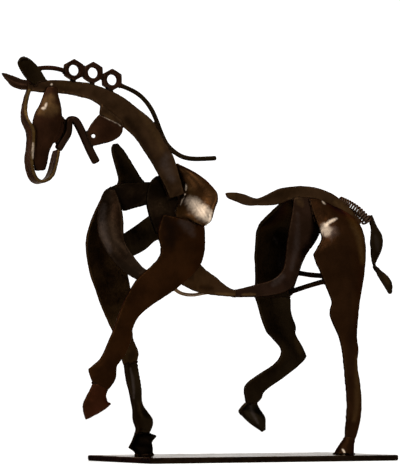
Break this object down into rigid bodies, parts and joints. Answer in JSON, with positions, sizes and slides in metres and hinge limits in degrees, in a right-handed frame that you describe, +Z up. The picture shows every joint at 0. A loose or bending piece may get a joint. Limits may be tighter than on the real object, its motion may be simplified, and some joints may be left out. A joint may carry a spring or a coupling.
{
  "type": "scrap metal horse sculpture",
  "caption": "Prancing horse welded from cut and bent scrap steel, with a mane of hexagon nuts, a coil spring at the dock and a flat base plate that it stands on.",
  "frame": {"origin": "middle of the base plate's underside", "axes": "+Z up; -X the way the horse faces; -Y the horse's left side"},
  "size_m": [0.3779, 0.128, 0.3531],
  "materials": {
    "base_steel": "dark oxidised and lacquered plate",
    "brown_steel": "brown oxidised sheet under clear lacquer",
    "black_steel": "near-black oxidised sheet under clear lacquer",
    "bronzed_steel": "heat-bronzed sheet, polished where it stands out",
    "fastener_steel": "browned nuts, rod and spring wire"
  },
  "bodies": {
    "root": {"base_plate": "base_steel", "neck_strap": "brown_steel", "right_ear": "brown_steel", "jaw_rod": "brown_steel", "throat_sheet": "brown_steel", "left_foreleg": "brown_steel", "left_fore_hoof": "brown_steel", "breast_strap": "brown_steel", "croup_strap": "brown_steel", "flank_strap": "brown_steel", "girth_strap": "brown_steel", "left_hind_leg": "brown_steel", "left_hind_hoof": "brown_steel", "mane_rod_rear": "black_steel", "left_ear": "black_steel", "cheek_sheet": "black_steel", "left_shoulder_blade": "black_steel", "right_shoulder_blade": "black_steel", "chest_plate": "black_steel", "right_foreleg": "black_steel", "right_cannon": "black_steel", "right_fore_hoof": "black_steel", "cross_strap": "black_steel", "right_thigh": "black_steel", "right_hind_leg": "black_steel", "right_hind_hoof": "black_steel", "thigh_tie_upper": "black_steel", "thigh_tie_lower": "black_steel", "tail_strip": "black_steel", "muzzle_bar": "bronzed_steel", "face_sheet": "bronzed_steel", "shoulder_cap": "bronzed_steel", "belly_rod": "bronzed_steel", "mane_nut_front": "fastener_steel", "mane_nut_middle": "fastener_steel", "mane_nut_rear": "fastener_steel", "mane_rod_front": "fastener_steel", "tail_spring": "fastener_steel"}
  },
  "joints": []
}
